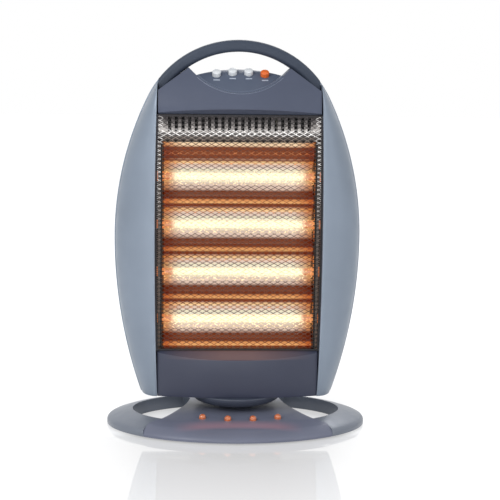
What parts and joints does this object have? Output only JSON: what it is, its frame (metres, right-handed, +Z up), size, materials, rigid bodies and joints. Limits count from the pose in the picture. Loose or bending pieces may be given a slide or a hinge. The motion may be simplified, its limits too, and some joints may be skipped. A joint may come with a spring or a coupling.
{
  "type": "halogen heater",
  "caption": "Oval oscillating halogen heater: quartz tubes before a bright reflector behind a chromed guard, with a carrying handle, push buttons and an elliptical base.",
  "frame": {"origin": "bottom centre of the base, on the floor and on the swivel axis", "axes": "+Z up along the swivel axis, -Y towards the person who is warmed, +X to the right seen from the front"},
  "size_m": [0.369, 0.254, 0.546],
  "materials": {
    "light_plastic": "smooth moulded polypropylene, satin",
    "slate_plastic": "smooth moulded polypropylene, satin",
    "dark_plastic": "smooth moulded polypropylene, satin",
    "black_plastic": "fine spark texture",
    "rubber": "matt",
    "amber_lens": "clear-tinted, glossy",
    "zinc_screw": "zinc plated",
    "zinc_sheet": "zinc coated sheet",
    "bright_sheet": "bright rolled",
    "chrome_guard": "bright plated expanded sheet",
    "nylon": "natural nylon",
    "quartz": "satin fused quartz",
    "tungsten": "glowing coil",
    "ceramic": "unglazed steatite",
    "button_white": "satin gloss",
    "button_orange": "satin gloss",
    "motor_steel": "zinc plated can",
    "sleeving": "woven glass sleeving"
  },
  "bodies": {
    "base": {"base_ring": "light_plastic", "bridge_cover": "slate_plastic", "base_plate": "black_plastic", "rubber_feet": "rubber", "indicator_lenses": "amber_lens", "base_screws": "zinc_screw", "neck_post": "dark_plastic", "yoke_arm": "zinc_sheet", "yoke_nut": "zinc_screw", "tip_switch": "black_plastic", "bearing_washer": "nylon"},
    "head": {"swivel_collar": "dark_plastic", "swivel_plate": "zinc_sheet", "lower_panel": "dark_plastic", "top_panel": "slate_plastic", "control_panel": "slate_plastic", "side_panel_left": "light_plastic", "side_panel_right": "light_plastic", "handle": "dark_plastic", "rear_shell": "light_plastic", "cord_gland": "black_plastic", "cover_screws": "zinc_screw", "guard_frame": "chrome_guard", "guard_mesh": "chrome_guard", "slotted_plate": "bright_sheet", "reflector": "bright_sheet", "end_plate_left": "bright_sheet", "end_plate_right": "bright_sheet", "heat_shield": "zinc_sheet", "tube_clips": "zinc_sheet", "quartz_tube_1": "quartz", "quartz_tube_2": "quartz", "quartz_tube_3": "quartz", "quartz_tube_4": "quartz", "filament_1": "tungsten", "filament_2": "tungsten", "filament_3": "tungsten", "filament_4": "tungsten", "tube_caps_1": "ceramic", "tube_caps_2": "ceramic", "tube_caps_3": "ceramic", "tube_caps_4": "ceramic", "switch_block": "nylon", "motor": "motor_steel", "motor_bracket": "zinc_sheet", "terminal_block": "nylon", "thermal_cutout": "black_plastic", "wire_loom": "sleeving"},
    "crank": {"crank": "nylon"},
    "tip_plunger": {"tip_plunger": "nylon"},
    "button_1": {"button_1": "button_white"},
    "button_2": {"button_2": "button_white"},
    "button_3": {"button_3": "button_white"},
    "button_4": {"button_4": "button_orange"}
  },
  "joints": [
    {"name": "head_swing", "type": "hinge", "parent": "base", "child": "head", "pos_m": [0, 0, 0.056], "axis": [0, 0, 1], "range_deg": [-27.5, 27.5]},
    {"name": "crank_turn", "type": "hinge", "parent": "head", "child": "crank", "pos_m": [0, 0.024, 0.075], "axis": [0, 0, 1], "range_deg": [-90.01, 90.01]},
    {"name": "tip_slide", "type": "slide", "parent": "base", "child": "tip_plunger", "axis": [0, 0, 1], "range_m": [-0.004, 0], "stiffness_N_per_m": 20, "springref_m": -0.006},
    {"name": "button_1_press", "type": "slide", "parent": "head", "child": "button_1", "axis": [0, -0.5592, 0.829], "range_m": [-0.003, 0], "stiffness_N_per_m": 300, "springref_m": 0.0005},
    {"name": "button_2_press", "type": "slide", "parent": "head", "child": "button_2", "axis": [0, -0.5592, 0.829], "range_m": [-0.003, 0], "stiffness_N_per_m": 300, "springref_m": 0.0005},
    {"name": "button_3_press", "type": "slide", "parent": "head", "child": "button_3", "axis": [0, -0.5592, 0.829], "range_m": [-0.003, 0], "stiffness_N_per_m": 300, "springref_m": 0.0005},
    {"name": "button_4_press", "type": "slide", "parent": "head", "child": "button_4", "axis": [0, -0.5592, 0.829], "range_m": [-0.003, 0], "stiffness_N_per_m": 300, "springref_m": 0.0005}
  ],
  "couplings": [
    {"joint": "crank_turn", "follows": "head_swing", "ratio": -3.2727}
  ]
}
